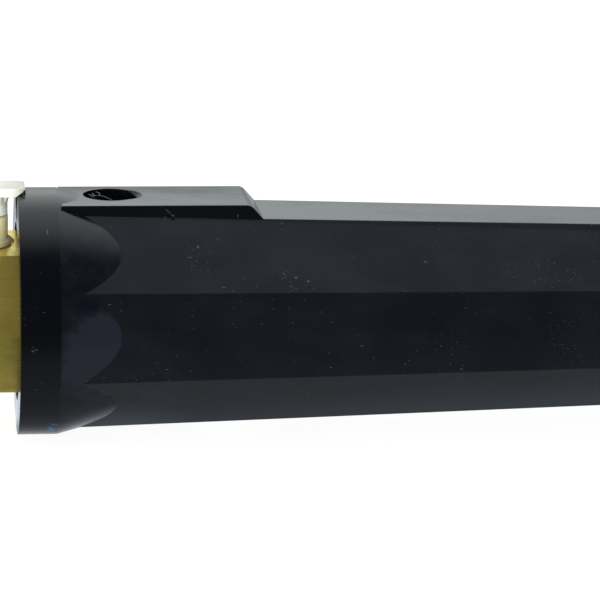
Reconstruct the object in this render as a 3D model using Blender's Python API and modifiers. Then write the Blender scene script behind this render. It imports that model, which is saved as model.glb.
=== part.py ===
"""Tong-type electrode holder: brass body bar, sprung upper jaw, octagonal insulated handle.

Every sub-part is laid out in the holder frame, whose origin lies on the handle's centre line in
the collar's front face. X runs to the cable end, Y across, Z up to the thumb pad's side.
The holder_axis empty carries that frame to where the object stands on its lowest faces.
"""
import bpy
import bmesh
from math import cos, pi, radians, sin, tan
from mathutils import Matrix, Quaternion, Vector

MM = 0.001
GAP = 0.3 * MM                      # left between two pieces that touch
OVER = 1.0 * MM                     # how far a cutter runs past the face it opens
SINK_ROOT = 0.4 * MM                # how far a countersink's cone runs into its shank

# Overall length, and the height of the centre line over the table
HEAD_LENGTH = 124.0 * MM            # jaw tip to collar face
TAIL_END = 118.0 * MM               # collar face to the gland ring's back
COLLAR_X = (HEAD_LENGTH - TAIL_END) / 2
AXIS_Z = 19.0 * MM

# Handle
COLLAR_RADIUS = 19.0 * MM
COLLAR_LENGTH = 6.0 * MM
CONE_HALF_ANGLE = radians(15)
CONE_END = 27.0 * MM
GRIP_LENGTH = 115.0 * MM
GRIP_RADIUS = 18.11 * MM            # over the octagon's corners, at GRIP_START
GRIP_TAPER = 0.027                  # radius lost for each unit of length
GRIP_START = 5.0 * MM
GRIP_CHAMFER = 1.2 * MM
PAD_TOP = 18.0 * MM
PAD_HALF_WIDTH = 6.9 * MM
PAD_START = 5.7 * MM
PAD_RAMP_TOP = 34.65 * MM
PAD_DROP = 3.0 * MM                 # how far the pad's outline runs down into the grip
ACCESS_X = 14.4 * MM                # centre of the screw access hole
ACCESS_RADIUS = 4.3 * MM
ACCESS_EDGE = 0.25 * MM             # chamfer round it
BORE_RADIUS = 13.7 * MM
BORE_LENGTH = 59.0 * MM
CABLE_WAY_RADIUS = 8.0 * MM
GLAND_SEAT_X = 103.0 * MM
GLAND_SEAT_RADIUS = 11.5 * MM
GLAND_FLANGE_RADIUS = 12.6 * MM
GLAND_HOLE_RADIUS = 6.5 * MM
GLAND_CHAMFER = 0.8 * MM
NOTCH_FLOOR = 14.6 * MM             # the notch in the rim clears the thumb pad's nose
HANDLE_SCREW_X = 32.0 * MM
HANDLE_SCREW_TIP = -7.5 * MM
HANDLE_SCREW = (1.7 * MM, 3.6 * MM)     # radius of the shank, and of the head

# Body bar
HEX_FLAT = 11.0 * MM                # half the width across flats
HEX_TURN = radians(4.5)             # turn of the flats about the axis, from level
HEX_FRONT = -50.0 * MM
HEX_BACK = 1.2 * MM
HEX_CHAMFER = 0.5 * MM
STUB_RADIUS = 10.8 * MM
STUB_END = 52.0 * MM
SOCKET_RADIUS = 5.5 * MM
SOCKET_START = 8.0 * MM
ARM_HALF_WIDTH = 9.0 * MM
ARM_BOTTOM = -10.8 * MM
ARM_BEND = -60.0 * MM               # where the arm's underside starts to rise
ARM_TIP_BOTTOM = -7.5 * MM
ARM_TIP_CORNER = -5.0 * MM
ARM_TIP_SLOPE = 3.0 * MM            # length of the sloped corner under the arm's tip
ARM_SHOULDER = 8.5 * MM
JAW_FRONT = -122.0 * MM
EAR_INNER = 5.8 * MM
EAR_OUTER = 9.2 * MM
EAR_RADIUS = 6.5 * MM
EAR_BASE = 5.0 * MM
EAR_BASE_HALF_LENGTH = 9.0 * MM

# Cable clamp
CLAMP_SCREW_RADIUS = 3.7 * MM
CLAMP_SCREW_LOW = 5.0 * MM
CLAMP_SCREW_TOP = 9.6 * MM
CLAMP_KEY_RADIUS = 2.3 * MM
CLAMP_KEY_FLOOR = 6.8 * MM
SADDLE_RADIUS = 4.2 * MM            # of its hollow face
SADDLE_TOP = 4.7 * MM
SADDLE_HALF_LENGTH = 7.0 * MM
SADDLE_X = 18.4 * MM

# Jaw hinge
PIVOT_X = -38.0 * MM
PIVOT_Z = 17.5 * MM
PIN_RADIUS = 2.45 * MM
PIN_FIT = 0.15 * MM                 # play of the pin in its holes
PIN_END = 12.0 * MM
PIN_HEAD_RADIUS = 4.3 * MM
PIN_HEAD_CHAMFER = 0.5 * MM
CLIP_GROOVE_START = 9.9 * MM
CLIP_GROOVE_WIDTH = 0.9 * MM
CLIP_GROOVE_DEPTH = 0.6 * MM
CLIP_RADIUS = 4.4 * MM
CLIP_THICKNESS = 0.6 * MM
CLIP_MOUTH = 1.5 * MM               # half the width of its opening
BUSH_RADIUS = 3.3 * MM
WASHER_RADIUS = 5.2 * MM
LEVER_HALF_WIDTH = 4.6 * MM
BOSS_RADIUS = 5.6 * MM
LEVER_ARM_HALF_WIDTH = 8.5 * MM
ARM_TOP_DEPTH = 2.9 * MM            # upper arm's top below its insulator's top
UPPER_TIP_SLOPE = 4.0 * MM
UPPER_TIP_DROP = 2.2 * MM

# Jaw inserts, which meet at JAW_Z
JAW_Z = 5.6 * MM
INSERT_BACK = -89.0 * MM
INSERT_FRONT = -121.5 * MM
INSERT_HALF_WIDTH = 8.0 * MM
INSERT_THICKNESS = 4.8 * MM
CROSS_GROOVES = (-117.0 * MM, -111.0 * MM)
SLANT_GROOVE = -99.0 * MM
GROOVE_DEPTH = 1.7 * MM
INSERT_BEVEL = 0.4 * MM
INSERT_SCREWS = (-95.0 * MM, -105.5 * MM)
INSERT_SCREW_RADIUS = 1.3 * MM
INSERT_SCREW_REACH = 1.8 * MM       # how far a screw goes into its insert
CAP_RADIUS = 3.3 * MM
CAP_HEIGHT = 3.0 * MM
CAP_KEY_RADIUS = 1.7 * MM
CAP_KEY_FLOOR = 1.4 * MM
LOWER_CAP_SEAT = -4.2 * MM
UPPER_CAP_SEAT = 14.2 * MM

# Thumb pad, spring and sleeve
SPRING_X = -5.4 * MM
SPRING_RADIUS = 2.6 * MM            # to the middle of the wire
WIRE_RADIUS = 0.5 * MM
SPRING_TURNS = 6.5
POCKET_RADIUS = 3.9 * MM
POCKET_FLOOR = 3.0 * MM
SEAT_THICKNESS = 0.8 * MM
SPOT_FACE_RADIUS = 5.1 * MM         # level face the sleeve stands on
SPOT_FACE = 10.6 * MM
SLEEVE_RADIUS = 4.1 * MM
SLEEVE_BORE = 3.45 * MM
SLEEVE_LIP_RADIUS = 4.7 * MM
SLEEVE_LIP = 0.9 * MM
TAIL_HALF_WIDTH = 3.0 * MM
TAIL_LOW = 16.7 * MM
TAIL_HIGH = 18.2 * MM
TAIL_TIP = -5.0 * MM
THUMB_TOP = 19.8 * MM
THUMB_UNDER = 18.5 * MM
THUMB_START = -27.0 * MM
THUMB_HALF_WIDTH = 6.0 * MM
THUMB_BOSS_LOW = 15.6 * MM
WRAP_WALL = 0.8 * MM
NOSE_TIP = 1.25 * MM
NOSE_HALF_WIDTH = 3.0 * MM
NOSE_EDGE = 0.2 * MM                # thickness left at the nose's tip
NOSE_RAMP = -0.25 * MM              # where the slope under the nose starts
THUMB_WAIST = -4.5 * MM             # where the nose starts to widen
THUMB_SHOULDER = -11.0 * MM
THUMB_BEND = 3.0 * MM               # radius of both
THUMB_TAPER = 0.8 * MM
THUMB_BEVEL = 0.4 * MM
SPIGOT_RADIUS = 1.3 * MM            # keeps the spring's top turn in place
SPIGOT_LENGTH = 2.0 * MM
TAIL_START = -24.0 * MM
THUMB_SCREWS = (-12.0 * MM, -21.0 * MM)
THUMB_SCREW = (1.0 * MM, 2.2 * MM)      # radius of the shank, and of the head

# Insulators
INSULATOR_BACK = -53.0 * MM
INSULATOR_FRONT = -124.0 * MM
UPPER_HALF_WIDTH = 11.6 * MM
LOWER_HALF_WIDTH = 12.2 * MM
UPPER_SKIRT = 8.4 * MM
UPPER_TOP_FRONT = 20.3 * MM
UPPER_SLOPE = 0.054                 # rise of the upper arm and its insulator towards the hinge
LOWER_SKIRT = 2.8 * MM
INSULATOR_BEVEL = 1.6 * MM
FIN_BEVEL = 0.8 * MM
FIN_HEIGHT = 1.5 * MM
FIN_HALF_LENGTH = 1.5 * MM
FIN_PITCH = 9.0 * MM
FIN_COUNT = 5
FIN_FIRST = -110.0 * MM
KEEL_HALF_WIDTH = 7.0 * MM
KEEL_FRONT = -117.3 * MM
KEEL_BACK = -56.0 * MM
KEEL_ROOT = -12.0 * MM
KEEL_EDGE = -15.5 * MM
UPPER_COVER_SCREWS = (-59.5 * MM, -69.0 * MM)
UPPER_COVER_TIP = 15.0 * MM
LOWER_COVER_SCREW = -78.5 * MM
LOWER_COVER_TIP = -5.6 * MM
COVER_SCREW = (1.5 * MM, 2.9 * MM)      # radius of the shank, and of the head

ROUND = 32                          # facets round a small turned piece
FINE = 64                           # facets round the handle's collar

for old in list(bpy.data.objects):
    bpy.data.objects.remove(old, do_unlink=True)

PARTS = bpy.data.collections.new("electrode_holder")
CUTTERS = bpy.data.collections.new("cutters")
for collection in (PARTS, CUTTERS):
    bpy.context.scene.collection.children.link(collection)

AXIS = bpy.data.objects.new("holder_axis", None)
AXIS.location = (COLLAR_X, 0, AXIS_Z)
PARTS.objects.link(AXIS)
PIVOT = bpy.data.objects.new("jaw_pivot", None)
PIVOT.parent = AXIS
PIVOT.location = (PIVOT_X, 0, PIVOT_Z)
PARTS.objects.link(PIVOT)


def material(name, colour, roughness, metallic=0.0, transmission=0.0):
    """Return a Principled material."""
    made = bpy.data.materials.new(name)
    made.use_nodes = True
    shader = made.node_tree.nodes["Principled BSDF"]
    shader.inputs["Base Color"].default_value = (*colour, 1.0)
    shader.inputs["Roughness"].default_value = roughness
    shader.inputs["Metallic"].default_value = metallic
    shader.inputs["Transmission Weight"].default_value = transmission
    return made


# Basic shapes ---------------------------------------------------------------------------------

def link(name, mesh, location, rotation=None):
    """Return a new object on the holder's axis frame."""
    obj = bpy.data.objects.new(name, mesh)
    PARTS.objects.link(obj)
    obj.parent = AXIS
    obj.location = location
    if rotation is not None:
        obj.rotation_mode = "QUATERNION"
        obj.rotation_quaternion = rotation
    return obj


def box(name, low, high):
    """Return a block between two corners."""
    low, high = Vector(low), Vector(high)
    mesh = bpy.data.meshes.new(name)
    bm = bmesh.new()
    bmesh.ops.create_cube(bm, size=1.0, matrix=Matrix.Diagonal((*(high - low), 1.0)))
    bm.to_mesh(mesh)
    bm.free()
    return link(name, mesh, (low + high) / 2)


def rod(name, start, end, radius, end_radius=None, segments=ROUND):
    """Return a cylinder, or a cone frustum, between two points."""
    start, end = Vector(start), Vector(end)
    mesh = bpy.data.meshes.new(name)
    bm = bmesh.new()
    bmesh.ops.create_cone(bm, cap_ends=True, segments=segments, radius1=radius,
                          radius2=radius if end_radius is None else end_radius,
                          depth=(end - start).length)
    bm.to_mesh(mesh)
    bm.free()
    mesh.shade_smooth()
    mesh.set_sharp_from_angle(angle=radians(30))
    return link(name, mesh, (start + end) / 2, (end - start).to_track_quat("Z", "Y"))


def turned(name, origin, direction, profile, steps=ROUND, turn=0.0):
    """Return a turned solid. profile has (distance along, radius) from the far end, outside first."""
    mesh = bpy.data.meshes.new(name)
    bm = bmesh.new()
    verts = [bm.verts.new((radius, 0, along)) for along, radius in profile]
    for first, second in zip(verts, verts[1:]):
        bm.edges.new((first, second))
    if min(radius for _, radius in profile) > 0:
        bm.edges.new((verts[-1], verts[0]))
    bm.to_mesh(mesh)
    bm.free()
    rotation = Vector(direction).to_track_quat("Z", "Y") @ Quaternion((0, 0, 1), turn)
    obj = link(name, mesh, origin, rotation)
    screw = obj.modifiers.new("screw", "SCREW")
    screw.steps = steps
    screw.render_steps = steps
    screw.use_merge_vertices = True
    screw.merge_threshold = 0.00001
    screw.use_smooth_shade = steps > 8
    return obj


def ring(name, start, end, outer, inner, steps=ROUND):
    """Return a plain tube between two points."""
    start, end = Vector(start), Vector(end)
    length = (end - start).length
    profile = [(length, outer), (0, outer), (0, inner), (length, inner)]
    return turned(name, start, end - start, profile, steps)


def curve_mesh(name, curve, location, rotation=None):
    """Return a mesh object from a curve, its caps welded."""
    drawn = link(name + "_curve", curve, location, rotation)
    bpy.context.view_layer.update()
    depsgraph = bpy.context.evaluated_depsgraph_get()
    mesh = bpy.data.meshes.new_from_object(drawn.evaluated_get(depsgraph))
    mesh.name = name
    bm = bmesh.new()
    bm.from_mesh(mesh)
    bmesh.ops.remove_doubles(bm, verts=bm.verts, dist=0.00001)
    bm.to_mesh(mesh)
    bm.free()
    obj = bpy.data.objects.new(name, mesh)
    PARTS.objects.link(obj)
    obj.parent = AXIS
    bpy.context.view_layer.update()
    obj.matrix_world = drawn.matrix_world
    bpy.data.objects.remove(drawn, do_unlink=True)
    return obj


def outline(name, points, thickness, location, rotation=None):
    """Return a flat outline of given thickness, centred on its plane."""
    curve = bpy.data.curves.new(name, "CURVE")
    curve.dimensions = "2D"
    curve.fill_mode = "BOTH"
    curve.extrude = thickness / 2
    spline = curve.splines.new("POLY")
    spline.points.add(len(points) - 1)
    for point, (u, v) in zip(spline.points, points):
        point.co = (u, v, 0, 1)
    spline.use_cyclic_u = True
    return curve_mesh(name, curve, location, rotation)


def side_plate(name, points, y_low, y_high):
    """Return a plate with an (x, z) outline between two Y planes."""
    rotation = Quaternion((1, 0, 0), pi / 2)
    return outline(name, points, y_high - y_low, (0, (y_low + y_high) / 2, 0), rotation)


def top_plate(name, points, z_low, z_high):
    """Return a plate with an (x, y) outline between two heights."""
    return outline(name, points, z_high - z_low, (0, 0, (z_low + z_high) / 2))


def arc(centre_u, centre_v, radius, first, last, count):
    """Return outline points on an arc, angles in degrees from the outline's first axis."""
    angles = [radians(first + (last - first) * i / (count - 1)) for i in range(count)]
    return [(centre_u + radius * cos(a), centre_v + radius * sin(a)) for a in angles]


def mirrored(half):
    """Return a closed outline from its half on the +Y side."""
    return half + [(x, -y) for x, y in reversed(half)]


# Working on shapes ----------------------------------------------------------------------------

def boolean(obj, operation, others):
    """Apply one Boolean after another and put the other shapes out of sight."""
    for other in others:
        step = obj.modifiers.new(operation.lower(), "BOOLEAN")
        step.operation = operation
        step.solver = "EXACT"
        step.object = other
        PARTS.objects.unlink(other)
        CUTTERS.objects.link(other)
        other.hide_render = True
        other.display_type = "WIRE"
    return obj


def add(obj, *others):
    return boolean(obj, "UNION", others)


def cut(obj, *others):
    return boolean(obj, "DIFFERENCE", others)


def bevel(obj, width, segments=2, angle=40):
    """Round the edges that are sharper than an angle."""
    step = obj.modifiers.new("bevel", "BEVEL")
    step.width = width
    step.segments = segments
    step.limit_method = "ANGLE"
    step.angle_limit = radians(angle)
    return obj


def finish(obj, made, moving=False):
    """Give a sub-part its material, and its joint's empty as parent if it moves."""
    obj.data.materials.clear()
    obj.data.materials.append(made)
    if moving:
        obj.parent = PIVOT
        obj.matrix_parent_inverse = Matrix.Translation((-PIVOT_X, 0, -PIVOT_Z))
    return obj


def countersunk(name, x, surface, tip, radius, head_radius):
    """Return a countersunk screw on Z, its head flush with a surface and its tip at a height."""
    side = 1 if surface > tip else -1
    sink = head_radius - radius
    neck = surface - side * sink
    screw = rod(name, (x, 0, tip), (x, 0, neck), radius, segments=16)
    head = rod(name + "_head", (x, 0, neck - side * SINK_ROOT), (x, 0, surface),
               radius - SINK_ROOT, head_radius, segments=24)
    slot = box(name + "_slot", (x - head_radius, -0.5 * MM, surface - 0.9 * MM),
               (x + head_radius, 0.5 * MM, surface + 0.9 * MM))
    return cut(add(screw, head), slot)


def screw_hole(name, x, surface, tip, radius, head_radius):
    """Return the cutter that clears a countersunk screw on Z."""
    side = 1 if surface > tip else -1
    neck = surface - side * (head_radius - radius + SINK_ROOT)
    shaft = rod(name, (x, 0, tip - side * GAP), (x, 0, surface + side * OVER), radius + GAP,
                segments=16)
    seat = rod(name + "_seat", (x, 0, neck), (x, 0, surface + side * GAP),
               radius + GAP - SINK_ROOT, head_radius + 2 * GAP, segments=24)
    return add(shaft, seat)


# Handle ---------------------------------------------------------------------------------------

def grip_radius(x):
    """Return the grip's radius over its corners at x."""
    return GRIP_RADIUS - GRIP_TAPER * (x - GRIP_START)


def grip_flat(x):
    """Return the distance from the axis to the grip's flats at x."""
    return grip_radius(x) * cos(pi / 8)


def handle_shell(made):
    chamfer_x = GRIP_LENGTH - GRIP_CHAMFER
    grip = turned("handle_shell", (0, 0, 0), (1, 0, 0), [
        (GRIP_LENGTH, 0),
        (GRIP_LENGTH, grip_radius(chamfer_x) - GRIP_CHAMFER),
        (chamfer_x, grip_radius(chamfer_x)),
        (GRIP_START, GRIP_RADIUS),
        (GRIP_START, 0)], steps=8, turn=pi / 8)
    cone_radius = COLLAR_RADIUS - (CONE_END - COLLAR_LENGTH) * tan(CONE_HALF_ANGLE)
    collar = turned("collar", (0, 0, 0), (1, 0, 0), [
        (CONE_END, 0),
        (CONE_END, cone_radius),
        (COLLAR_LENGTH, COLLAR_RADIUS),
        (0, COLLAR_RADIUS),
        (0, 0)], steps=FINE)
    pad = side_plate("pad", [
        (PAD_START, PAD_TOP - PAD_DROP),
        (PAD_RAMP_TOP + PAD_DROP, PAD_TOP - PAD_DROP),
        (PAD_RAMP_TOP, PAD_TOP),
        (PAD_START, PAD_TOP)], -PAD_HALF_WIDTH, PAD_HALF_WIDTH)
    add(grip, collar, pad)
    bore = rod("bore", (-OVER, 0, 0), (BORE_LENGTH, 0, 0), BORE_RADIUS, segments=48)
    way = rod("cable_way", (BORE_LENGTH - OVER, 0, 0), (GLAND_SEAT_X + OVER, 0, 0),
              CABLE_WAY_RADIUS)
    seat = rod("gland_seat", (GLAND_SEAT_X, 0, 0), (GRIP_LENGTH + OVER, 0, 0), GLAND_SEAT_RADIUS)
    access = turned("access", (ACCESS_X, 0, 0), (0, 0, 1), [
        (PAD_TOP + OVER, 0),
        (PAD_TOP + OVER, ACCESS_RADIUS + ACCESS_EDGE + OVER),
        (PAD_TOP - ACCESS_EDGE, ACCESS_RADIUS),
        (CLAMP_SCREW_TOP, ACCESS_RADIUS),
        (CLAMP_SCREW_TOP, 0)])
    side = NOSE_HALF_WIDTH + GAP
    corner = side / 3
    half = arc(NOSE_TIP + GAP - corner, side - corner, corner, 0, 90, 4) + [(-OVER, side)]
    notch = top_plate("nose_notch", mirrored(half), NOTCH_FLOOR, COLLAR_RADIUS + OVER)
    screw = screw_hole("handle_screw_hole", HANDLE_SCREW_X, -grip_flat(HANDLE_SCREW_X),
                       HANDLE_SCREW_TIP - OVER, *HANDLE_SCREW)
    return finish(cut(grip, bore, way, seat, access, notch, screw), made)


def liner_sleeve(made):
    inner = STUB_RADIUS + GAP
    sleeve = ring("liner_sleeve", (HEX_BACK + GAP, 0, 0), (BORE_LENGTH - GAP, 0, 0),
                  BORE_RADIUS - GAP, inner)
    access = rod("liner_access", (ACCESS_X, 0, CLAMP_SCREW_TOP), (ACCESS_X, 0, BORE_RADIUS + OVER),
                 ACCESS_RADIUS)
    screw = rod("liner_screw", (HANDLE_SCREW_X, 0, -BORE_RADIUS - OVER),
                (HANDLE_SCREW_X, 0, HANDLE_SCREW_TIP), HANDLE_SCREW[0] + 2 * GAP)
    return finish(cut(sleeve, access, screw), made)


def handle_screw(made):
    return finish(countersunk("handle_screw", HANDLE_SCREW_X, GAP - grip_flat(HANDLE_SCREW_X),
                              HANDLE_SCREW_TIP, *HANDLE_SCREW), made)


def cable_gland_ring(made):
    neck = GLAND_SEAT_RADIUS - GAP
    start = GLAND_SEAT_X + GAP
    obj = turned("cable_gland_ring", (0, 0, 0), (1, 0, 0), [
        (TAIL_END, GLAND_HOLE_RADIUS + GLAND_CHAMFER),
        (TAIL_END, GLAND_FLANGE_RADIUS - GLAND_CHAMFER),
        (TAIL_END - GLAND_CHAMFER, GLAND_FLANGE_RADIUS),
        (GRIP_LENGTH + GAP, GLAND_FLANGE_RADIUS),
        (GRIP_LENGTH + GAP, neck),
        (start, neck),
        (start, GLAND_HOLE_RADIUS),
        (TAIL_END - GLAND_CHAMFER, GLAND_HOLE_RADIUS)])
    return finish(obj, made)


# Body bar and what it holds -------------------------------------------------------------------

def ear(name, y_low, y_high):
    """Return one hinge ear, rounded over the pin."""
    points = arc(PIVOT_X, PIVOT_Z, EAR_RADIUS, 0, 180, 13)
    points += [(PIVOT_X - EAR_BASE_HALF_LENGTH, EAR_BASE), (PIVOT_X + EAR_BASE_HALF_LENGTH, EAR_BASE)]
    return side_plate(name, points, y_low, y_high)


def body_bar(made):
    corner = HEX_FLAT / cos(pi / 6)
    bar = turned("body_bar", (0, 0, 0), (1, 0, 0), [
        (HEX_BACK, 0),
        (HEX_BACK, corner),
        (HEX_FRONT + HEX_CHAMFER, corner),
        (HEX_FRONT, corner - HEX_CHAMFER),
        (HEX_FRONT, 0)], steps=6, turn=HEX_TURN)
    stub = rod("stub", (HEX_BACK - OVER, 0, 0), (STUB_END, 0, 0), STUB_RADIUS)
    seat_z = JAW_Z - INSERT_THICKNESS - GAP
    arm_root = HEX_FRONT + 6 * OVER
    arm = side_plate("lower_arm", [
        (arm_root, ARM_BOTTOM),
        (ARM_BEND, ARM_BOTTOM),
        (JAW_FRONT + ARM_TIP_SLOPE, ARM_TIP_BOTTOM),
        (JAW_FRONT, ARM_TIP_CORNER),
        (JAW_FRONT, seat_z),
        (ARM_BEND - 6 * MM, seat_z),
        (ARM_BEND + 2 * MM, EAR_BASE),
        (HEX_FRONT - 1.5 * MM, ARM_SHOULDER),
        (arm_root, ARM_SHOULDER)], -ARM_HALF_WIDTH, ARM_HALF_WIDTH)
    add(bar, stub, arm, ear("ear_near", -EAR_OUTER, -EAR_INNER), ear("ear_far", EAR_INNER, EAR_OUTER))
    under = -HEX_FLAT - OVER
    cutters = [
        rod("socket", (SOCKET_START, 0, 0), (STUB_END + OVER, 0, 0), SOCKET_RADIUS),
        rod("clamp_thread", (ACCESS_X, 0, SOCKET_RADIUS / 2), (ACCESS_X, 0, STUB_RADIUS + OVER),
            CLAMP_SCREW_RADIUS + GAP),
        rod("pin_bore", (PIVOT_X, -PIN_END, PIVOT_Z), (PIVOT_X, PIN_END, PIVOT_Z),
            PIN_RADIUS + PIN_FIT),
        rod("pocket", (SPRING_X, 0, POCKET_FLOOR), (SPRING_X, 0, SPOT_FACE + OVER), POCKET_RADIUS),
        rod("spot_face", (SPRING_X, 0, SPOT_FACE), (SPRING_X, 0, SPOT_FACE + 2 * OVER),
            SPOT_FACE_RADIUS),
        rod("handle_thread", (HANDLE_SCREW_X, 0, under), (HANDLE_SCREW_X, 0, HANDLE_SCREW_TIP + GAP),
            HANDLE_SCREW[0] + GAP),
        rod("cover_thread", (LOWER_COVER_SCREW, 0, under), (LOWER_COVER_SCREW, 0, LOWER_COVER_TIP + GAP),
            COVER_SCREW[0] + GAP, segments=16)]
    for x in INSERT_SCREWS:
        cutters.append(rod("insert_hole", (x, 0, under), (x, 0, seat_z + OVER),
                           INSERT_SCREW_RADIUS + 2 * GAP, segments=16))
        cutters.append(rod("insert_sink", (x, 0, under), (x, 0, LOWER_CAP_SEAT),
                           CAP_RADIUS + 2 * GAP, segments=24))
    return finish(cut(bar, *cutters), made)


def cable_clamp_screw(made):
    screw = rod("cable_clamp_screw", (ACCESS_X, 0, CLAMP_SCREW_LOW), (ACCESS_X, 0, CLAMP_SCREW_TOP),
                CLAMP_SCREW_RADIUS)
    key = rod("key_socket", (ACCESS_X, 0, CLAMP_KEY_FLOOR), (ACCESS_X, 0, CLAMP_SCREW_TOP + OVER),
              CLAMP_KEY_RADIUS, segments=6)
    return finish(cut(bevel(screw, 0.4 * MM, 1), key), made)


def cable_saddle(made):
    """Return the curved shoe between the clamp screw and the cable."""
    points = arc(0, 0, SOCKET_RADIUS - GAP, 35, 145, 9) + arc(0, 0, SADDLE_RADIUS, 145, 35, 9)
    rotation = Quaternion((0, 0, 1), pi / 2) @ Quaternion((1, 0, 0), pi / 2)
    saddle = outline("cable_saddle", points, 2 * SADDLE_HALF_LENGTH, (SADDLE_X, 0, 0), rotation)
    reach = SADDLE_HALF_LENGTH + OVER
    relief = box("saddle_flat", (SADDLE_X - reach, -SOCKET_RADIUS, SADDLE_TOP),
                 (SADDLE_X + reach, SOCKET_RADIUS, SOCKET_RADIUS + OVER))
    return finish(cut(saddle, relief), made)


# Jaw inserts ----------------------------------------------------------------------------------

def jaw_insert(name, plane, far_side, made, moving):
    """Return a grooved insert whose working face is at a height."""
    low, high = sorted((plane, far_side))
    block = box(name, (INSERT_FRONT, -INSERT_HALF_WIDTH, low), (INSERT_BACK, INSERT_HALF_WIDTH, high))
    bevel(block, INSERT_BEVEL, 1)
    reach = INSERT_HALF_WIDTH + GROOVE_DEPTH + OVER
    cutters = [rod("groove", (x, -reach, plane), (x, reach, plane), GROOVE_DEPTH, segments=4)
               for x in CROSS_GROOVES]
    cutters.append(rod("slant", (SLANT_GROOVE - reach, -reach, plane),
                       (SLANT_GROOVE + reach, reach, plane), GROOVE_DEPTH, segments=4))
    side = 1 if far_side > plane else -1
    for x in INSERT_SCREWS:
        cutters.append(rod("thread", (x, 0, far_side + side * OVER),
                           (x, 0, far_side - side * (INSERT_SCREW_REACH + GAP)),
                           INSERT_SCREW_RADIUS + GAP, segments=16))
    return finish(cut(block, *cutters), made, moving)


def insert_screws(name, seat_z, far_side, made, moving):
    """Make the cap screws that hold an insert. seat_z is the height under their caps."""
    side = 1 if seat_z > far_side else -1
    for i, x in enumerate(INSERT_SCREWS, 1):
        shank = rod(f"{name}_{i}", (x, 0, far_side - side * INSERT_SCREW_REACH),
                    (x, 0, seat_z + side * GAP), INSERT_SCREW_RADIUS, segments=16)
        cap = rod("cap", (x, 0, seat_z), (x, 0, seat_z + side * CAP_HEIGHT), CAP_RADIUS, segments=24)
        key = rod("cap_key", (x, 0, seat_z + side * CAP_KEY_FLOOR),
                  (x, 0, seat_z + side * (CAP_HEIGHT + OVER)), CAP_KEY_RADIUS, segments=6)
        finish(cut(add(shank, cap), key), made, moving)


# Upper jaw lever ------------------------------------------------------------------------------

def upper_top(x):
    """Return the height of the upper insulator's top at x."""
    return UPPER_TOP_FRONT + UPPER_SLOPE * (x - INSULATOR_FRONT)


def arm_top(x):
    """Return the height of the upper arm's top at x."""
    return upper_top(x) - ARM_TOP_DEPTH


def upper_jaw_lever(made):
    plate = side_plate("upper_jaw_lever", [
        (TAIL_START, TAIL_LOW),
        (TAIL_START, TAIL_HIGH),
        (TAIL_START - 3.5 * MM, TAIL_HIGH),
        (-32 * MM, 22.0 * MM),
        (PIVOT_X, 23.1 * MM),
        (-50 * MM, 20.8 * MM),
        (-58 * MM, 20.4 * MM),
        (-58 * MM, 13.0 * MM),
        (-48 * MM, 12.2 * MM),
        (PIVOT_X, 12.2 * MM),
        (-29 * MM, 14.6 * MM)], -LEVER_HALF_WIDTH, LEVER_HALF_WIDTH)
    boss = rod("boss", (PIVOT_X, -LEVER_HALF_WIDTH, PIVOT_Z), (PIVOT_X, LEVER_HALF_WIDTH, PIVOT_Z),
               BOSS_RADIUS)
    tail = box("tail", (TAIL_START - 3 * OVER, -TAIL_HALF_WIDTH, TAIL_LOW),
               (TAIL_TIP, TAIL_HALF_WIDTH, TAIL_HIGH))
    seat_z = JAW_Z + INSERT_THICKNESS + 2 * GAP
    tip = JAW_FRONT + UPPER_TIP_SLOPE
    arm = side_plate("upper_arm", [
        (-51 * MM, 13.2 * MM),
        (-51 * MM, arm_top(-51 * MM)),
        (tip, arm_top(tip)),
        (JAW_FRONT, arm_top(JAW_FRONT) - UPPER_TIP_DROP),
        (JAW_FRONT, seat_z),
        (-64 * MM, seat_z)], -LEVER_ARM_HALF_WIDTH, LEVER_ARM_HALF_WIDTH)
    add(plate, boss, tail, arm)
    side = LEVER_HALF_WIDTH + OVER
    cutters = [rod("bush_bore", (PIVOT_X, -side, PIVOT_Z), (PIVOT_X, side, PIVOT_Z),
                   BUSH_RADIUS + GAP)]
    for x in INSERT_SCREWS:
        cutters.append(rod("jaw_hole", (x, 0, seat_z - OVER), (x, 0, upper_top(x)),
                           INSERT_SCREW_RADIUS + 2 * GAP, segments=16))
        cutters.append(rod("jaw_sink", (x, 0, UPPER_CAP_SEAT), (x, 0, upper_top(x) + OVER),
                           CAP_RADIUS + 2 * GAP, segments=24))
    for x in UPPER_COVER_SCREWS:
        cutters.append(rod("top_thread", (x, 0, UPPER_COVER_TIP - OVER), (x, 0, upper_top(x)),
                           COVER_SCREW[0] + GAP, segments=16))
    for x in THUMB_SCREWS:
        cutters.append(rod("thumb_thread", (x, 0, TAIL_LOW - OVER), (x, 0, TAIL_HIGH + OVER),
                           THUMB_SCREW[0] + GAP, segments=16))
    return finish(cut(plate, *cutters), made, moving=True)


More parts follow.
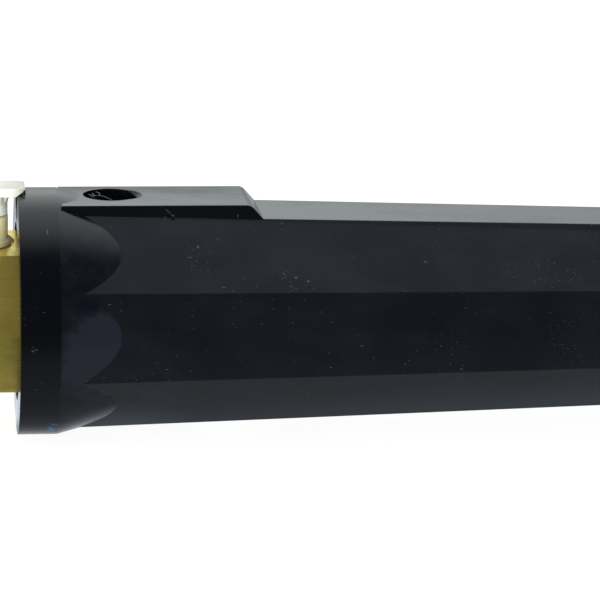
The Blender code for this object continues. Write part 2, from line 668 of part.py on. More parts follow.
def thumb_pad(made):
    """Return the moulded thumb pad that wraps the lever's tail, with a narrow nose."""
    corner = THUMB_TAPER
    half = arc(NOSE_TIP - corner, NOSE_HALF_WIDTH - corner, corner, 0, 90, 5)
    half += arc(THUMB_WAIST, NOSE_HALF_WIDTH + THUMB_BEND, THUMB_BEND, -90, -150, 5)
    half += arc(THUMB_SHOULDER, THUMB_HALF_WIDTH - THUMB_BEND, THUMB_BEND, 30, 90, 5)
    half += [(THUMB_START, THUMB_HALF_WIDTH - THUMB_TAPER)]
    pad = top_plate("thumb_pad", mirrored(half), THUMB_UNDER, THUMB_TOP)
    bevel(pad, THUMB_BEVEL, 2, 50)
    wall = TAIL_HALF_WIDTH + GAP + WRAP_WALL
    half = arc(SPRING_X, 0, wall, 11.25, 90, 8) + [(THUMB_START, wall)]
    wrap = top_plate("wrap", mirrored(half), THUMB_BOSS_LOW, THUMB_UNDER + OVER / 2)
    spigot = rod("spigot", (SPRING_X, 0, THUMB_BOSS_LOW - SPIGOT_LENGTH),
                 (SPRING_X, 0, THUMB_BOSS_LOW + OVER / 2), SPIGOT_RADIUS, segments=16)
    add(pad, wrap, spigot)
    side = NOSE_HALF_WIDTH + OVER
    ramp = side_plate("nose_ramp", [
        (NOSE_TIP + OVER, THUMB_UNDER - OVER),
        (NOSE_TIP + OVER, THUMB_TOP - NOSE_EDGE),
        (NOSE_TIP, THUMB_TOP - NOSE_EDGE),
        (NOSE_RAMP, THUMB_UNDER),
        (NOSE_RAMP, THUMB_UNDER - OVER)], -side, side)
    side = TAIL_HALF_WIDTH + GAP
    slot = box("tail_slot", (THUMB_START - OVER, -side, TAIL_LOW - GAP),
               (TAIL_TIP + GAP, side, TAIL_HIGH + GAP))
    step = box("plate_slot", (THUMB_START - OVER, -THUMB_HALF_WIDTH - OVER, THUMB_BOSS_LOW - OVER),
               (TAIL_START + GAP, THUMB_HALF_WIDTH + OVER, TAIL_HIGH + GAP))
    holes = [screw_hole("thumb_hole", x, THUMB_TOP, TAIL_LOW, *THUMB_SCREW) for x in THUMB_SCREWS]
    return finish(cut(pad, ramp, slot, step, *holes), made, moving=True)


def thumb_pad_screws(made):
    for i, x in enumerate(THUMB_SCREWS, 1):
        screw = countersunk(f"thumb_pad_screw_{i}", x, THUMB_TOP - GAP, TAIL_LOW + GAP, *THUMB_SCREW)
        finish(screw, made, moving=True)


# Hinge ----------------------------------------------------------------------------------------

def pivot_pin(made):
    """Return the headed pin, with a groove for its clip."""
    groove_end = CLIP_GROOVE_START + CLIP_GROOVE_WIDTH
    groove_radius = PIN_RADIUS - CLIP_GROOVE_DEPTH
    chamfer = 0.4 * MM
    pin = turned("pivot_pin", (PIVOT_X, 0, PIVOT_Z), (0, 1, 0), [
        (PIN_END, 0),
        (PIN_END, PIN_RADIUS - chamfer),
        (PIN_END - chamfer, PIN_RADIUS),
        (groove_end, PIN_RADIUS),
        (groove_end, groove_radius),
        (CLIP_GROOVE_START, groove_radius),
        (CLIP_GROOVE_START, PIN_RADIUS),
        (-EAR_OUTER - GAP, PIN_RADIUS),
        (-EAR_OUTER - GAP, PIN_HEAD_RADIUS),
        (-PIN_END + PIN_HEAD_CHAMFER, PIN_HEAD_RADIUS),
        (-PIN_END, PIN_HEAD_RADIUS - PIN_HEAD_CHAMFER),
        (-PIN_END, 0)])
    return finish(pin, made)


def pivot_clip(made):
    """Return the open retaining clip in the pin's groove."""
    low = CLIP_GROOVE_START + PIN_FIT
    high = low + CLIP_THICKNESS
    inner = PIN_RADIUS - CLIP_GROOVE_DEPTH + PIN_FIT
    clip = ring("pivot_clip", (PIVOT_X, low, PIVOT_Z), (PIVOT_X, high, PIVOT_Z), CLIP_RADIUS, inner)
    mouth = box("clip_mouth", (PIVOT_X - CLIP_MOUTH, low - OVER, PIVOT_Z - CLIP_RADIUS - OVER),
                (PIVOT_X + CLIP_MOUTH, high + OVER, PIVOT_Z))
    return finish(cut(clip, mouth), made)


def pivot_bush(made):
    bush = ring("pivot_bush", (PIVOT_X, -LEVER_HALF_WIDTH, PIVOT_Z),
                (PIVOT_X, LEVER_HALF_WIDTH, PIVOT_Z), BUSH_RADIUS, PIN_RADIUS + PIN_FIT)
    return finish(bush, made, moving=True)


def pivot_washers(made):
    """Make the two thrust washers beside the lever."""
    for name, side in (("near", -1), ("far", 1)):
        start = (PIVOT_X, side * (LEVER_HALF_WIDTH + GAP), PIVOT_Z)
        end = (PIVOT_X, side * (EAR_INNER - GAP), PIVOT_Z)
        finish(ring(f"pivot_washer_{name}", start, end, WASHER_RADIUS, PIN_RADIUS + PIN_FIT), made)


# Spring ---------------------------------------------------------------------------------------

def coil_spring(made):
    """Return the closing spring, its end turns wound close."""
    low = POCKET_FLOOR + SEAT_THICKNESS + 2 * GAP + WIRE_RADIUS
    high = THUMB_BOSS_LOW - GAP - WIRE_RADIUS
    per_turn = 12
    count = int(SPRING_TURNS * per_turn)
    curve = bpy.data.curves.new("coil_spring", "CURVE")
    curve.dimensions = "3D"
    curve.bevel_depth = WIRE_RADIUS
    curve.bevel_resolution = 1
    curve.use_fill_caps = True
    spline = curve.splines.new("POLY")
    spline.points.add(count)
    for i, point in enumerate(spline.points):
        part = i / count
        rise = part - sin(2 * pi * part) / (2 * pi) * 0.8
        angle = 2 * pi * SPRING_TURNS * part
        point.co = (SPRING_RADIUS * cos(angle), SPRING_RADIUS * sin(angle),
                    low + (high - low) * rise, 1)
    return finish(curve_mesh("coil_spring", curve, (SPRING_X, 0, 0)), made)


def spring_seat_disc(made):
    low = POCKET_FLOOR + GAP
    disc = rod("spring_seat_disc", (SPRING_X, 0, low), (SPRING_X, 0, low + SEAT_THICKNESS),
               POCKET_RADIUS - GAP)
    return finish(disc, made)


def spring_sleeve(made):
    """Return the soft sleeve round the spring, with a rolled lip at its foot."""
    foot = SPOT_FACE + GAP
    top = THUMB_BOSS_LOW - GAP
    obj = turned("spring_sleeve", (SPRING_X, 0, 0), (0, 0, 1), [
        (top, SLEEVE_RADIUS),
        (foot + SLEEVE_LIP, SLEEVE_RADIUS),
        (foot + SLEEVE_LIP * 0.7, SLEEVE_LIP_RADIUS),
        (foot, SLEEVE_LIP_RADIUS),
        (foot, SLEEVE_BORE),
        (top, SLEEVE_BORE)])
    return finish(obj, made)


# Insulators -----------------------------------------------------------------------------------

def upper_insulator(made):
    shell = side_plate("upper_insulator", [
        (INSULATOR_BACK, UPPER_SKIRT + 5.5 * MM),
        (INSULATOR_BACK, upper_top(INSULATOR_BACK)),
        (INSULATOR_FRONT + 5 * MM, upper_top(INSULATOR_FRONT + 5 * MM)),
        (INSULATOR_FRONT, 15.5 * MM),
        (INSULATOR_FRONT, UPPER_SKIRT),
        (-64 * MM, UPPER_SKIRT)], -UPPER_HALF_WIDTH, UPPER_HALF_WIDTH)
    bevel(shell, INSULATOR_BEVEL, 3, 50)
    fins = []
    for i in range(FIN_COUNT):
        x = FIN_FIRST + i * FIN_PITCH
        fin = box("upper_fin", (x - FIN_HALF_LENGTH, -UPPER_HALF_WIDTH - FIN_HEIGHT, 10.5 * MM),
                  (x + FIN_HALF_LENGTH, UPPER_HALF_WIDTH + FIN_HEIGHT, upper_top(x) + FIN_HEIGHT))
        fins.append(bevel(fin, FIN_BEVEL, 2))
    add(shell, *fins)
    width = LEVER_ARM_HALF_WIDTH + GAP
    back = INSULATOR_BACK + OVER
    front = INSULATOR_FRONT - OVER
    tip = JAW_FRONT + UPPER_TIP_SLOPE
    sill = UPPER_SKIRT + 0.8 * MM
    inside = side_plate("upper_inside", [
        (back, JAW_Z),
        (back, arm_top(back) + GAP),
        (tip, arm_top(tip) + GAP),
        (JAW_FRONT - GAP, arm_top(JAW_FRONT) - UPPER_TIP_DROP + GAP),
        (JAW_FRONT - GAP, sill),
        (front, sill),
        (front, JAW_Z)], -width, width)
    holes = [screw_hole("cover_hole", x, upper_top(x), UPPER_COVER_TIP, *COVER_SCREW)
             for x in UPPER_COVER_SCREWS]
    return finish(cut(shell, *holes, inside), made, moving=True)


def lower_insulator(made):
    shell = side_plate("lower_insulator", [
        (INSULATOR_BACK, -14.6 * MM),
        (INSULATOR_BACK, -4.0 * MM),
        (-62 * MM, LOWER_SKIRT),
        (INSULATOR_FRONT, LOWER_SKIRT),
        (INSULATOR_FRONT, -8.0 * MM),
        (INSULATOR_FRONT + 6 * MM, -13.0 * MM)], -LOWER_HALF_WIDTH, LOWER_HALF_WIDTH)
    bevel(shell, INSULATOR_BEVEL, 3, 50)
    fins = []
    for i in range(FIN_COUNT):
        x = FIN_FIRST + i * FIN_PITCH
        fin = box("lower_fin", (x - FIN_HALF_LENGTH, -LOWER_HALF_WIDTH - FIN_HEIGHT, -16 * MM),
                  (x + FIN_HALF_LENGTH, LOWER_HALF_WIDTH + FIN_HEIGHT, 0.5 * MM))
        fins.append(bevel(fin, FIN_BEVEL, 2))
    keel = side_plate("keel", [
        (KEEL_BACK, KEEL_ROOT),
        (KEEL_FRONT, KEEL_ROOT),
        (KEEL_FRONT, KEEL_EDGE),
        (KEEL_FRONT + 6 * MM, -AXIS_Z),
        (KEEL_BACK - 5 * MM, -AXIS_Z),
        (KEEL_BACK, KEEL_EDGE)], -KEEL_HALF_WIDTH, KEEL_HALF_WIDTH)
    add(shell, *fins, bevel(keel, 0.6 * MM, 1))
    width = ARM_HALF_WIDTH + GAP
    back = INSULATOR_BACK + OVER
    front = INSULATOR_FRONT - OVER
    inside = side_plate("lower_inside", [
        (back, LOWER_SKIRT + OVER),
        (front, LOWER_SKIRT + OVER),
        (front, 0),
        (JAW_FRONT - GAP, 0),
        (JAW_FRONT - GAP, ARM_TIP_CORNER - GAP),
        (JAW_FRONT + ARM_TIP_SLOPE - GAP, ARM_TIP_BOTTOM - GAP),
        (ARM_BEND - GAP, ARM_BOTTOM - GAP),
        (back, ARM_BOTTOM - GAP)], -width, width)
    hole = screw_hole("keel_hole", LOWER_COVER_SCREW, -AXIS_Z, ARM_TIP_BOTTOM - OVER, *COVER_SCREW)
    return finish(cut(shell, hole, inside), made)


def upper_insulator_screws(made):
    for i, x in enumerate(UPPER_COVER_SCREWS, 1):
        screw = countersunk(f"upper_insulator_screw_{i}", x, upper_top(x) - GAP, UPPER_COVER_TIP,
                            *COVER_SCREW)
        finish(screw, made, moving=True)


def lower_insulator_screw(made):
    return finish(countersunk("lower_insulator_screw", LOWER_COVER_SCREW, -AXIS_Z + GAP,
                              LOWER_COVER_TIP, *COVER_SCREW), made)


# Assembly -------------------------------------------------------------------------------------

black_plastic = material("black_plastic", (0.012, 0.014, 0.018), 0.38)
black_bakelite = material("black_bakelite", (0.018, 0.016, 0.015), 0.5)
natural_nylon = material("natural_nylon", (0.78, 0.76, 0.6), 0.35, 0.0, 0.5)
white_nylon = material("white_nylon", (0.75, 0.75, 0.7), 0.4)
fibre = material("fibre", (0.35, 0.16, 0.07), 0.6)
brass = material("brass", (0.62, 0.47, 0.2), 0.32, 1.0)
copper = material("copper", (0.72, 0.36, 0.22), 0.35, 1.0)
steel = material("steel", (0.6, 0.6, 0.6), 0.3, 1.0)
bronze = material("bronze", (0.55, 0.33, 0.14), 0.4, 1.0)
rubber = material("rubber", (0.02, 0.02, 0.02), 0.8)

handle_shell(black_plastic)
liner_sleeve(fibre)
handle_screw(white_nylon)
cable_gland_ring(rubber)
body_bar(brass)
cable_clamp_screw(steel)
cable_saddle(copper)
jaw_insert("lower_jaw_insert", JAW_Z, JAW_Z - INSERT_THICKNESS, copper, False)
insert_screws("lower_insert_screw", LOWER_CAP_SEAT - GAP, JAW_Z - INSERT_THICKNESS, steel, False)
upper_jaw_lever(brass)
jaw_insert("upper_jaw_insert", JAW_Z + GAP, JAW_Z + GAP + INSERT_THICKNESS, copper, True)
insert_screws("upper_insert_screw", UPPER_CAP_SEAT + GAP, JAW_Z + GAP + INSERT_THICKNESS, steel, True)
thumb_pad(natural_nylon)
thumb_pad_screws(steel)
pivot_pin(steel)
pivot_clip(steel)
pivot_bush(bronze)
pivot_washers(bronze)
coil_spring(steel)
spring_seat_disc(steel)
spring_sleeve(natural_nylon)
upper_insulator(black_bakelite)
upper_insulator_screws(steel)
lower_insulator(black_bakelite)
lower_insulator_screw(steel)
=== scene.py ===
"""Looks of the electrode holder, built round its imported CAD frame.

Lengths are metres in the CAD's frame: X to the cable end, Z up, the holder lying on z = 0.
"""
from math import cos, pi, radians, sin, tan

import bmesh
import bpy
from mathutils import Matrix, Vector

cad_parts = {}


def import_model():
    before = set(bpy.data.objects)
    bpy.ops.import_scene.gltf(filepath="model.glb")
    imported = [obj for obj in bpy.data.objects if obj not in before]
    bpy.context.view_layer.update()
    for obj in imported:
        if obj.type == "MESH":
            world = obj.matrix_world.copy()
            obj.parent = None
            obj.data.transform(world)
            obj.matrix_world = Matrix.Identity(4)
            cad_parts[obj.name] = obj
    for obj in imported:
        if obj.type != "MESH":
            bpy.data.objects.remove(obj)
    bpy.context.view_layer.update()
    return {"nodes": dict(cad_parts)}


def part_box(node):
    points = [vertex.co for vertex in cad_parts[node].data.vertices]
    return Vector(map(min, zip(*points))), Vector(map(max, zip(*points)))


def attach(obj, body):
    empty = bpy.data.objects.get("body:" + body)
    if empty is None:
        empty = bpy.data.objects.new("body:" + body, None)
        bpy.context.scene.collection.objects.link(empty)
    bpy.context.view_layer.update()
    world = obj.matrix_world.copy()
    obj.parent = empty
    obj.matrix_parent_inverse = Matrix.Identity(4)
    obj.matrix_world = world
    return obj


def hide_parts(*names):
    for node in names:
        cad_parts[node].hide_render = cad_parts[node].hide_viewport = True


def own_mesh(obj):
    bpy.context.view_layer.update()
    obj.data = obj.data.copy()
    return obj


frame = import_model()
MM = 0.001
HOLDER, JAW = "holder", "upper_jaw"
NODES = frame["nodes"]

# Places and sizes, read from the frame --------------------------------------------------------
SHELL_LOW, SHELL_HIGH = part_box("handle_shell")
COLLAR_X = SHELL_LOW.x
AXIS_Z = (SHELL_LOW.z + SHELL_HIGH.z) / 2
COLLAR_RADIUS = (SHELL_HIGH.z - SHELL_LOW.z) / 2
GRIP_LENGTH = SHELL_HIGH.x - SHELL_LOW.x

# The handle's own sizes, from the collar face along the axis. Its pad and the grip's place follow
# the real one a little more closely than the CAD shell does.
OVER = 1.0 * MM                     # how far a cutter runs past the face it opens
COLLAR_LENGTH = 6.0 * MM
COLLAR_EDGE = 0.12 * MM
CONE_HALF_ANGLE = radians(15)
CONE_END = 27.0 * MM
GRIP_START = 5.0 * MM
GRIP_RADIUS = 18.11 * MM            # over the octagon's corners, at GRIP_START
GRIP_TAPER = 0.027                  # radius lost for each unit of length
GRIP_OFF_Y = -0.15 * MM             # the grip's middle off the collar's axis where it starts
GRIP_OFF_Z = -0.10 * MM
GRIP_TILT = 0.0022                  # how much its middle rises for each unit of length
GRIP_END_ROUND = 1.2 * MM
CORNER_ROUND = 0.3 * MM
CORNER_STEPS = 6
PAD_TOP = 18.04 * MM
PAD_HALF_WIDTH = 6.9 * MM
PAD_START = 6.5 * MM
PAD_RAMP_TOP = 35.2 * MM
PAD_RAMP_CORNER = 1.5 * MM
PAD_RAMP_RUN = 0.9                  # length of the ramp for each unit of drop
PAD_DROP = 3.0 * MM                 # how far the pad's outline runs down into the grip
PAD_EDGE = 0.22 * MM
ACCESS_X = 14.35 * MM
ACCESS_Y = 0.85 * MM
ACCESS_RADIUS = 4.2 * MM
ACCESS_DEPTH = 10.0 * MM
LIP_X = ACCESS_X + 1.3 * MM         # the hole's edge is worn towards the cable end only
LIP_RADIUS = ACCESS_RADIUS - 0.65 * MM
BORE_RADIUS = 13.7 * MM
BORE_LENGTH = 59.0 * MM
CABLE_WAY_RADIUS = 8.0 * MM
GLAND_SEAT_X = 103.0 * MM
GLAND_SEAT_RADIUS = 11.5 * MM
NOTCH_FLOOR = 14.6 * MM
NOTCH_LENGTH = 1.35 * MM
NOTCH_HALF_WIDTH = 3.3 * MM
NOTCH_CORNER = 1.1 * MM
HANDLE_SCREW_X = 32.0 * MM
SCREW_HOLE_RADIUS = 2.0 * MM
SCREW_SEAT_RADII = (1.6 * MM, 4.2 * MM)
SCREW_SEAT_DEPTH = 2.2 * MM
SCREW_SEAT_OVER = 0.3 * MM

# The thumb pad's nose
SPRING_X = -5.4 * MM
WRAP_RADIUS = 4.1 * MM
NOSE_UNDER = 18.5 * MM              # height of the nose's under side over the axis
NOSE_FILLET = 1.1 * MM


def at(x, y=0.0, z=0.0):
    """Return a point of the holder's own frame (on its axis, from the collar face) in the world."""
    return Vector((COLLAR_X + x, y, AXIS_Z + z))


# Mesh tools -----------------------------------------------------------------------------------

def piece(name, bm):
    """Return a linked object made from a bmesh, its faces pointing out."""
    bmesh.ops.recalc_face_normals(bm, faces=bm.faces)
    mesh = bpy.data.meshes.new(name)
    bm.to_mesh(mesh)
    bm.free()
    obj = bpy.data.objects.new(name, mesh)
    bpy.context.scene.collection.objects.link(obj)
    return obj


def apply_modifiers(obj):
    """Make the object's evaluated mesh its own mesh."""
    bpy.context.view_layer.update()
    evaluated = obj.evaluated_get(bpy.context.evaluated_depsgraph_get())
    mesh = bpy.data.meshes.new_from_object(evaluated)
    obj.modifiers.clear()
    obj.data = mesh
    return obj


def boolean(obj, operation, others):
    """Apply an exact boolean with each of the others, and remove them."""
    for other in others:
        step = obj.modifiers.new("boolean", "BOOLEAN")
        step.operation = operation
        step.solver = "EXACT"
        step.object = other
        apply_modifiers(obj)
        bpy.data.objects.remove(other, do_unlink=True)
    return obj


def join(obj, *others):
    return boolean(obj, "UNION", others)


def cut(obj, *others):
    return boolean(obj, "DIFFERENCE", others)


def bevel(obj, width, segments, angle):
    """Round the edges sharper than an angle."""
    step = obj.modifiers.new("bevel", "BEVEL")
    step.width = width
    step.segments = segments
    step.limit_method = "ANGLE"
    step.angle_limit = radians(angle)
    return apply_modifiers(obj)


def shade(obj, angle=32):
    """Shade smooth but for sharp edges, and keep flat faces flat."""
    obj.data.shade_smooth()
    obj.data.set_sharp_from_angle(angle=radians(angle))
    step = obj.modifiers.new("flat_faces", "WEIGHTED_NORMAL")
    step.keep_sharp = True
    step.weight = 100
    return apply_modifiers(obj)


def rod(name, start, end, radius, end_radius=None, segments=64):
    """Return a cylinder, or a cone where it has an end_radius."""
    start, end = Vector(start), Vector(end)
    turn = (end - start).to_track_quat("Z", "Y").to_matrix().to_4x4()
    bm = bmesh.new()
    bmesh.ops.create_cone(bm, cap_ends=True, segments=segments, radius1=radius,
                          radius2=radius if end_radius is None else end_radius,
                          depth=(end - start).length,
                          matrix=Matrix.Translation((start + end) / 2) @ turn)
    return piece(name, bm)


def loft(name, rings):
    """Return a capped solid skinned over rings of equal point counts."""
    bm = bmesh.new()
    rows = [[bm.verts.new(point) for point in ring] for ring in rings]
    for first, second in zip(rows, rows[1:]):
        for i in range(len(first)):
            j = (i + 1) % len(first)
            bm.faces.new((first[i], first[j], second[j], second[i]))
    bm.faces.new(rows[0])
    bm.faces.new(rows[-1])
    return piece(name, bm)


def turned(name, origin, direction, profile, steps):
    """Return a solid of revolution. profile has (distance along, radius)."""
    origin = Vector(origin)
    turn = Vector(direction).to_track_quat("Z", "Y")
    rings = []
    for along, radius in profile:
        angles = [2 * pi * i / steps for i in range(steps)]
        rings.append([origin + turn @ Vector((radius * cos(a), radius * sin(a), along))
                      for a in angles])
    return loft(name, rings)


def fillet(points, radii, steps):
    """Return a closed outline with its corners rounded, by one radius a corner."""
    made = []
    for i, (corner, radius) in enumerate(zip(points, radii)):
        here = Vector(corner)
        before = (Vector(points[i - 1]) - here).normalized()
        after = (Vector(points[(i + 1) % len(points)]) - here).normalized()
        half = before.angle(after) / 2
        if radius == 0:
            made.append(tuple(here))
            continue
        reach = radius / tan(half)
        centre = here + (before + after).normalized() * (radius / sin(half))
        first = here + before * reach - centre
        sweep = first.angle_signed(here + after * reach - centre)
        for k in range(steps + 1):
            angle = -sweep * k / steps
            made.append((centre.x + first.x * cos(angle) - first.y * sin(angle),
                         centre.y + first.x * sin(angle) + first.y * cos(angle)))
    return made


def side_plate(name, points, y_low, y_high):
    """Return a plate with an (x, z) outline in the holder's frame."""
    return loft(name, [[at(x, y, z) for x, z in points] for y in (y_low, y_high)])


def sliver(name, path, width):
    """Return a thin ragged thread of plastic along points, tapered to its ends."""
    rings = []
    for i, point in enumerate(path):
        along = path[min(i + 1, len(path) - 1)] - path[max(i - 1, 0)]
        turn = along.to_track_quat("X", "Z")
        half = width / 2 * (0.35 + 0.65 * sin(pi * (i + 0.5) / len(path)))
        rings.append([point + turn @ Vector((0, u * half, v * half * 0.6))
                      for u, v in ((-1, -1), (1, -1), (1, 1), (-1, 1))])
    return loft(name, rings)


def top_plate(name, points, z_low, z_high):
    """Return a plate with an (x, y) outline in the holder's frame."""
    return loft(name, [[at(x, y, z) for x, y in points] for z in (z_low, z_high)])


def finish(obj, material, body, slot, *replaced):
    """Give a piece its material, the body it moves with and the CAD node it stands for."""
    obj.data.materials.clear()
    obj.data.materials.append(material)
    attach(obj, body)
    if replaced:
        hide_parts(*replaced)
    return obj


# Materials ------------------------------------------------------------------------------------

class Shader:
    """A node material with a Principled shader and short ways to add nodes."""

    def __init__(self, name, colour, roughness, metallic=0.0, **sockets):
        self.material = bpy.data.materials.new(name)
        self.material.use_nodes = True
        self.tree = self.material.node_tree
        self.bsdf = self.tree.nodes["Principled BSDF"]
        self.set("Base Color", (*colour, 1.0))
        self.set("Roughness", roughness)
        self.set("Metallic", metallic)
        for socket, value in sockets.items():
            self.set(socket.replace("_", " "), value)
        self.coordinates = self.tree.nodes.new("ShaderNodeTexCoord").outputs["Object"]

    def set(self, socket, value):
        self.bsdf.inputs[socket].default_value = value

    def link(self, output, socket):
        self.tree.links.new(output, socket)

    def stretched(self, scale, turn=(0, 0, 0)):
        """Return object coordinates scaled along each axis."""
        node = self.tree.nodes.new("ShaderNodeMapping")
        node.inputs["Rotation"].default_value = turn
        node.inputs["Scale"].default_value = scale
        self.link(self.coordinates, node.inputs["Vector"])
        return node.outputs["Vector"]

    def noise(self, vector, scale=1.0, detail=3.0):
        node = self.tree.nodes.new("ShaderNodeTexNoise")
        node.inputs["Scale"].default_value = scale
        node.inputs["Detail"].default_value = detail
        node.inputs["Roughness"].default_value = 0.6
        self.link(vector, node.inputs["Vector"])
        return node.outputs["Fac"]

    def cells(self, vector, scale=1.0):
        """Return the distance to a cell's point, and the cell's own random value."""
        node = self.tree.nodes.new("ShaderNodeTexVoronoi")
        node.inputs["Scale"].default_value = scale
        self.link(vector, node.inputs["Vector"])
        split = self.tree.nodes.new("ShaderNodeSeparateColor")
        self.link(node.outputs["Color"], split.inputs["Color"])
        return node.outputs["Distance"], split.outputs["Red"]

    def axes(self, vector):
        node = self.tree.nodes.new("ShaderNodeSeparateXYZ")
        self.link(vector, node.inputs["Vector"])
        return node.outputs

    def ramp(self, value, low, high, out_low=0.0, out_high=1.0):
        node = self.tree.nodes.new("ShaderNodeMapRange")
        node.interpolation_type = "SMOOTHSTEP"
        for socket, number in (("From Min", low), ("From Max", high), ("To Min", out_low),
                               ("To Max", out_high)):
            node.inputs[socket].default_value = number
        self.link(value, node.inputs["Value"])
        return node.outputs["Result"]

    def math(self, operation, first, second):
        node = self.tree.nodes.new("ShaderNodeMath")
        node.operation = operation
        for socket, value in zip(node.inputs, (first, second)):
            if isinstance(value, (int, float)):
                socket.default_value = value
            else:
                self.link(value, socket)
        return node.outputs[0]

    def mix(self, factor, first, second):
        """Return a colour between two colours or outputs."""
        node = self.tree.nodes.new("ShaderNodeMix")
        node.data_type = "RGBA"
        self.link(factor, node.inputs["Factor"])
        for name, value in (("A", first), ("B", second)):
            socket = next(s for s in node.inputs if s.name == name and s.type == "RGBA")
            if isinstance(value, tuple):
                socket.default_value = (*value, 1.0)
            else:
                self.link(value, socket)
        return next(s for s in node.outputs if s.type == "RGBA")

    def bump(self, height, strength, distance):
        node = self.tree.nodes.new("ShaderNodeBump")
        node.inputs["Strength"].default_value = strength
        node.inputs["Distance"].default_value = distance
        self.link(height, node.inputs["Height"])
        return node.outputs["Normal"]

    def colour(self, output):
        self.link(output, self.bsdf.inputs["Base Color"])

    def roughness(self, output):
        self.link(output, self.bsdf.inputs["Roughness"])

    def normal(self, output):
        self.link(output, self.bsdf.inputs["Normal"])


def specks(s, size, share, radius):
    """Return a mask of scattered dust specks: cells of a size, the share that holds one."""
    distance, chance = s.cells(s.stretched((1, 1, 1)), 1 / size)
    spot = s.ramp(distance, radius * 0.5, radius, 1.0, 0.0)
    return s.math("MULTIPLY", spot, s.ramp(chance, 1 - share, 1 - share * 0.6))


def scratches(s, length, width, turn, share):
    """Return a mask of short fine scratches along X turned by an angle."""
    distance, chance = s.cells(s.stretched((1 / length, 1 / width, 1 / width), turn), 1.0)
    line = s.ramp(distance, 0.05, 0.16, 1.0, 0.0)
    return s.math("MULTIPLY", line, s.ramp(chance, 1 - share, 1 - share * 0.7))


def patch(s, centre, reach, turn=(0, 0, 0)):
    """Return a soft mask round a point, its reach given along each axis."""
    node = s.tree.nodes.new("ShaderNodeMapping")
    node.vector_type = "TEXTURE"
    node.inputs["Location"].default_value = centre
    node.inputs["Rotation"].default_value = turn
    node.inputs["Scale"].default_value = reach
    s.link(s.coordinates, node.inputs["Vector"])
    length = s.tree.nodes.new("ShaderNodeVectorMath")
    length.operation = "LENGTH"
    s.link(node.outputs["Vector"], length.inputs[0])
    return s.ramp(length.outputs["Value"], 0.3, 1.0, 1.0, 0.0)


def total(s, masks):
    result = masks[0]
    for mask in masks[1:]:
        result = s.math("ADD", result, mask)
    return result


def black_moulding(name, colour, haze_and_sheen, roughness, dust, streak=0.45, haze_and_sheen_mask=None, dull=None,
                   dusty=()):
    """Black plastic with drawn-out tool streaks, a scuffed haze, a painted bluish sheen and dust
    specks.

    hazy takes the shader and returns where, and how strongly, the haze lies. dull returns the
    roughness to add. dusty lists the places where dust has gathered, on the plastic that also
    has the chips and the smear.
    """
    s = Shader(name, colour, roughness, IOR=1.5)
    streaks = s.noise(s.stretched((90, 3600, 3600)), detail=2.0)
    clouds = s.noise(s.coordinates, 160, 4.0)
    smudges = s.noise(s.stretched((70, 130, 130)), 1.0, 4.0)
    patches = s.ramp(s.noise(s.coordinates, 45, 2.0), 0.42, 0.62, 0.3, 1.2)
    dots = total(s, [specks(s, 1.2 * MM, 0.35 * dust, 0.07),
                     specks(s, 0.6 * MM, 0.12 * dust, 0.13),
                     scratches(s, 2.2 * MM, 0.45 * MM, (0.1, 0.5, 0.9), 0.06 * dust),
                     scratches(s, 1.6 * MM, 0.4 * MM, (0.3, -0.9, 0.2), 0.05 * dust)])
    marks = s.math("MULTIPLY", dots, patches)
    if dusty:
        crowd = total(s, [specks(s, 0.4 * MM, 0.4, 0.22), specks(s, 0.75 * MM, 0.4, 0.12)])
        spread = total(s, [patch(s, centre, reach) for centre, reach in dusty])
        marks = s.math("ADD", marks, s.math("MULTIPLY", crowd, spread))
        chips = total(s, [patch(s, centre, reach, turn) for centre, reach, turn in CHIPS])
        ragged = s.ramp(s.noise(s.coordinates, 2600, 2.0), 0.36, 0.5)
        marks = s.math("ADD", marks, s.math("MULTIPLY", chips, s.math("MULTIPLY", ragged, 0.6)))
    film = s.ramp(smudges, 0.3, 0.7, 0.7, 1.3)
    if haze_and_sheen_mask is not None:
        film = s.math("MULTIPLY", film, haze_and_sheen_mask(s))
    base = s.mix(film, colour, haze_and_sheen)
    base = s.mix(s.math("MULTIPLY", marks, 0.9), base, DUST_COLOUR)
    if dusty:
        smear = s.math("MULTIPLY", patch(s, SMEAR, SMEAR_REACH),
                       s.ramp(s.noise(s.coordinates, 1100, 2.0), 0.44, 0.56))
        base = s.mix(s.math("MULTIPLY", smear, 0.9), base, SMEAR_COLOUR)
    s.colour(base)
    rough = s.math("ADD", s.ramp(streaks, 0.3, 0.7, -0.05 * streak, 0.07 * streak),
                   s.math("MULTIPLY", marks, 0.3))
    if dull is not None:
        rough = s.math("ADD", rough, dull(s))
    uneven = s.ramp(smudges, 0.35, 0.65, roughness - 0.04, roughness + 0.06)
    s.roughness(s.math("ADD", rough, uneven))
    height = s.math("ADD", s.math("MULTIPLY", streaks, streak), s.math("MULTIPLY", clouds, 0.6))
    s.normal(s.bump(s.math("ADD", height, s.math("MULTIPLY", marks, 1.2)), 0.35, 0.02 * MM))
    return s.material


